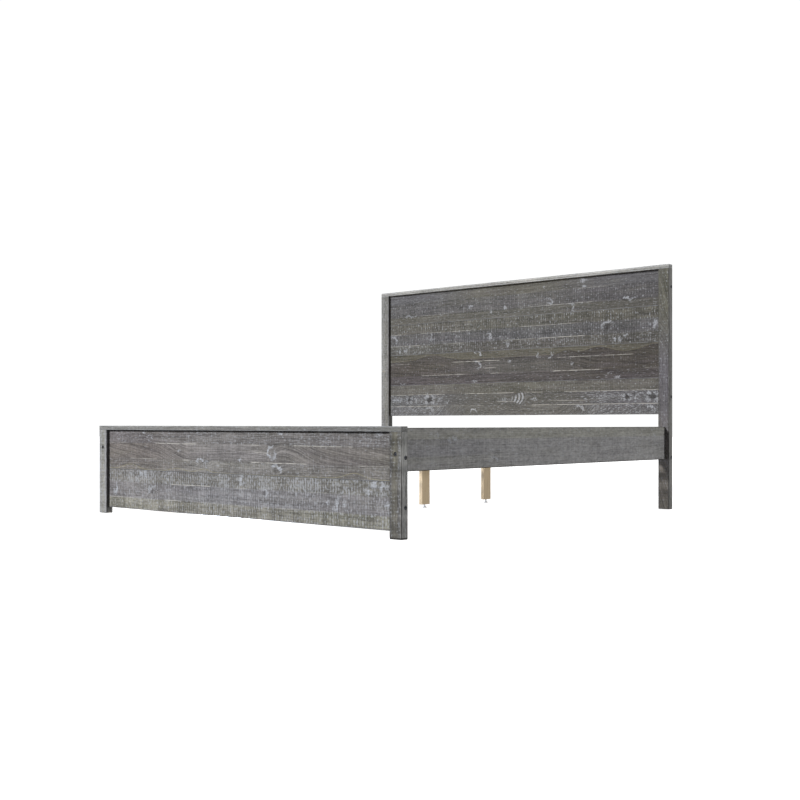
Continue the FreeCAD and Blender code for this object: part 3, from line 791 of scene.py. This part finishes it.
# ---------------------------------------------------------------- metal and plastic
METAL_BUMP = 0.00005
PLASTIC_BUMP = 0.00008
ZINC = dict(colour=hue(185, 186, 190), rough=0.28)
DARK_STEEL = dict(colour=hue(84, 87, 94), rough=0.32, metallic=0.4)
METALS = dict(
    panel_bolts=DARK_STEEL,
    rail_bolts=DARK_STEEL,
    beam_saddle=dict(colour=hue(40, 40, 42), rough=0.5, metallic=0.4),
    glide_stem=dict(colour=hue(236, 237, 239), rough=0.4, metallic=0.1),
    barrel_nuts=ZINC,
    slat_screws=ZINC,
    cleat_screws=ZINC,
    saddle_screws=ZINC,
    leg_hanger_bolts=ZINC,
    beam_insert_nuts=ZINC,
    glide_insert_nuts=ZINC,
)
WHITE_NYLON = dict(colour=hue(248, 247, 245), rough=0.42)
DARK_PLASTIC = dict(colour=hue(26, 25, 24), rough=0.6)


def metal(name, colour, rough, metallic=1.0, worn=hue(150, 148, 144)):
    """Plated or blackened steel: a cloudy skin with fine rubbed specks."""
    s = Shader(name)
    place = s.node("ShaderNodeTexCoord").outputs["Object"]
    cloud = s.rise(s.noise(place, scale=90.0, detail=4.0), 0.3, 0.7)
    speck = s.rise(s.noise(place, scale=1400.0, detail=2.0), 0.55, 0.75)
    shade = s.mix(cloud, tuple(c * 0.75 for c in colour), tuple(c * 1.2 for c in colour))
    shade = s.mix(s.times(speck, 0.20), shade, worn)
    roughness = s.plus(s.plus(rough, 0.12, cloud), -0.06, speck)
    return s.finish(shade, roughness, speck, METAL_BUMP, Metallic=metallic)


def moulded(name, colour, rough):
    """Moulded plastic: a fine pebbled skin with slight scuffs."""
    s = Shader(name)
    place = s.node("ShaderNodeTexCoord").outputs["Object"]
    pebbles = s.noise(place, scale=1800.0, detail=2.0)
    scuffs = s.rise(s.noise(place, scale=140.0, detail=5.0), 0.55, 0.75)
    shade = s.mix(s.times(scuffs, 0.35), colour, tuple(c * 0.6 for c in colour))
    return s.finish(shade, s.plus(rough, 0.25, scuffs), pebbles, PLASTIC_BUMP)


def give(node, material):
    """Puts the material in every slot of a CAD node."""
    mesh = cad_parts[node].data
    if not mesh.materials:
        mesh.materials.append(material)
    for slot in range(len(mesh.materials)):
        mesh.materials[slot] = material


def dress_boards():
    """The weathered outside: panels, caps, posts and rails."""
    headboard = ("headboard", HEAD_PLANKS, dict(shade=0.85, seam_shade=0.7, marked=1.12))
    footboard = ("footboard", FOOT_PLANKS, dict(shade=1.0, seam_shade=1.0, marked=1.6))
    for board, planks, finish in (headboard, footboard):
        for number, look in enumerate(planks, start=1):
            node = f"{board}_plank_{number}"
            seed = number + len(planks)
            give(node, weathered(node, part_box(node), "x", seed, **finish, **look))
    for seed, (node, look) in enumerate(FRAME_LOOKS.items(), start=20):
        along = "x" if node.endswith("cap") else "z"
        give(node, weathered(node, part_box(node), along, seed, **look))
    for seed, node in enumerate(("side_rail_left", "side_rail_right"), start=31):
        give(node, weathered(node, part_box(node), "y", seed, **RAIL_LOOK))


def dress_inside():
    """The bare wood, the fittings and the pads."""
    for seed, node in enumerate(sorted(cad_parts), start=40):
        steel = [look for start, look in METALS.items() if node.startswith(start)]
        if steel:
            give(node, metal(node, **steel[0]))
        elif node == "head_stretcher" or node.removeprefix("slat_").isdigit():
            give(node, pine(node, "x", seed))
        elif node.startswith("slat_cleat") or node == "centre_beam":
            give(node, pine(node, "y", seed))
        elif node.startswith("centre_leg"):
            give(node, pine(node, "z", seed, knotty=False))
        elif node.endswith("dowels"):
            give(node, pine(node, "x", seed, knotty=False))
        elif node.startswith("glide_pad"):
            give(node, moulded(node, **WHITE_NYLON))
        elif node == "floor_pads":
            give(node, moulded(node, **DARK_PLASTIC))


dress_boards()
dress_inside()


# ---------------------------------------------------------------- floor, light and camera
def make_floor():
    """A white studio floor, bright enough to swallow the bed's shadow."""
    half = FLOOR_SIZE / 2
    mesh = bpy.data.meshes.new("floor")
    corners = [(-half, -half, 0), (half, -half, 0), (half, half, 0), (-half, half, 0)]
    mesh.from_pydata(corners, [], [(0, 1, 2, 3)])
    floor = bpy.data.objects.new("floor", mesh)
    bpy.context.scene.collection.objects.link(floor)
    s = Shader("floor")
    white = (FLOOR_WHITE, FLOOR_WHITE, FLOOR_WHITE, 1.0)
    glow = dict(Emission_Color=(1.0, 1.0, 1.0, 1.0), Emission_Strength=FLOOR_GLOW)
    mesh.materials.append(s.finish(white, FLOOR_ROUGH, **glow))
    floor.visible_diffuse = False
    floor.visible_glossy = False


def make_sky():
    """A white backdrop, and a dimmer even light from all round."""
    world = bpy.data.worlds.new("studio")
    bpy.context.scene.world = world
    world.use_nodes = True
    tree = world.node_tree
    background = tree.nodes["Background"]
    background.inputs["Color"].default_value = (1.0, 1.0, 1.0, 1.0)
    strength = tree.nodes.new("ShaderNodeMapRange")
    strength.inputs["To Min"].default_value = SKY_LIGHT
    strength.inputs["To Max"].default_value = SKY_SEEN
    tree.links.new(tree.nodes.new("ShaderNodeLightPath").outputs["Is Camera Ray"], strength.inputs["Value"])
    tree.links.new(strength.outputs["Result"], background.inputs["Strength"])


def make_sun(name, power, angle, toward):
    """A distant lamp; toward points from the bed to the lamp."""
    sun = bpy.data.lights.new(name, "SUN")
    sun.energy = power
    sun.angle = math.radians(angle)
    lamp = bpy.data.objects.new(name, sun)
    lamp.rotation_mode = "QUATERNION"
    lamp.rotation_quaternion = Vector(toward).to_track_quat("Z", "Y")
    bpy.context.scene.collection.objects.link(lamp)


def make_under_light():
    """A soft lamp behind the footboard, for what stands below the slats."""
    lamp_data = bpy.data.lights.new("under", "AREA")
    lamp_data.energy = UNDER_POWER
    lamp_data.color = UNDER_COLOUR
    lamp_data.shape = "RECTANGLE"
    lamp_data.size, lamp_data.size_y = UNDER_SIZE
    lamp = bpy.data.objects.new("under", lamp_data)
    low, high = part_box("centre_leg_1")
    lamp.location = (UNDER_X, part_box("footboard_plank_1")[1][1] + UNDER_BEHIND, (low[2] + high[2]) / 2)
    lamp.rotation_mode = "QUATERNION"
    lamp.rotation_quaternion = Vector(UNDER_TOWARD).to_track_quat("-Z", "Y")
    lamp.visible_camera = False
    bpy.context.scene.collection.objects.link(lamp)


def make_camera():
    """The camera that frames the bed from its right front corner."""
    data = bpy.data.cameras.new("camera")
    data.lens = CAMERA_LENS
    data.sensor_width = CAMERA_SENSOR
    data.shift_y = CAMERA_SHIFT_Y
    camera = bpy.data.objects.new("camera", data)
    camera.location = CAMERA_AT
    camera.rotation_euler = (math.radians(90), 0, math.radians(CAMERA_AZIMUTH))
    bpy.context.scene.collection.objects.link(camera)
    bpy.context.scene.camera = camera


make_floor()
make_sky()
make_sun("key", **KEY)
make_sun("fill", **FILL)
make_sun("back", **BACK)
make_under_light()
make_camera()
bpy.context.scene.view_settings.view_transform = "Standard"
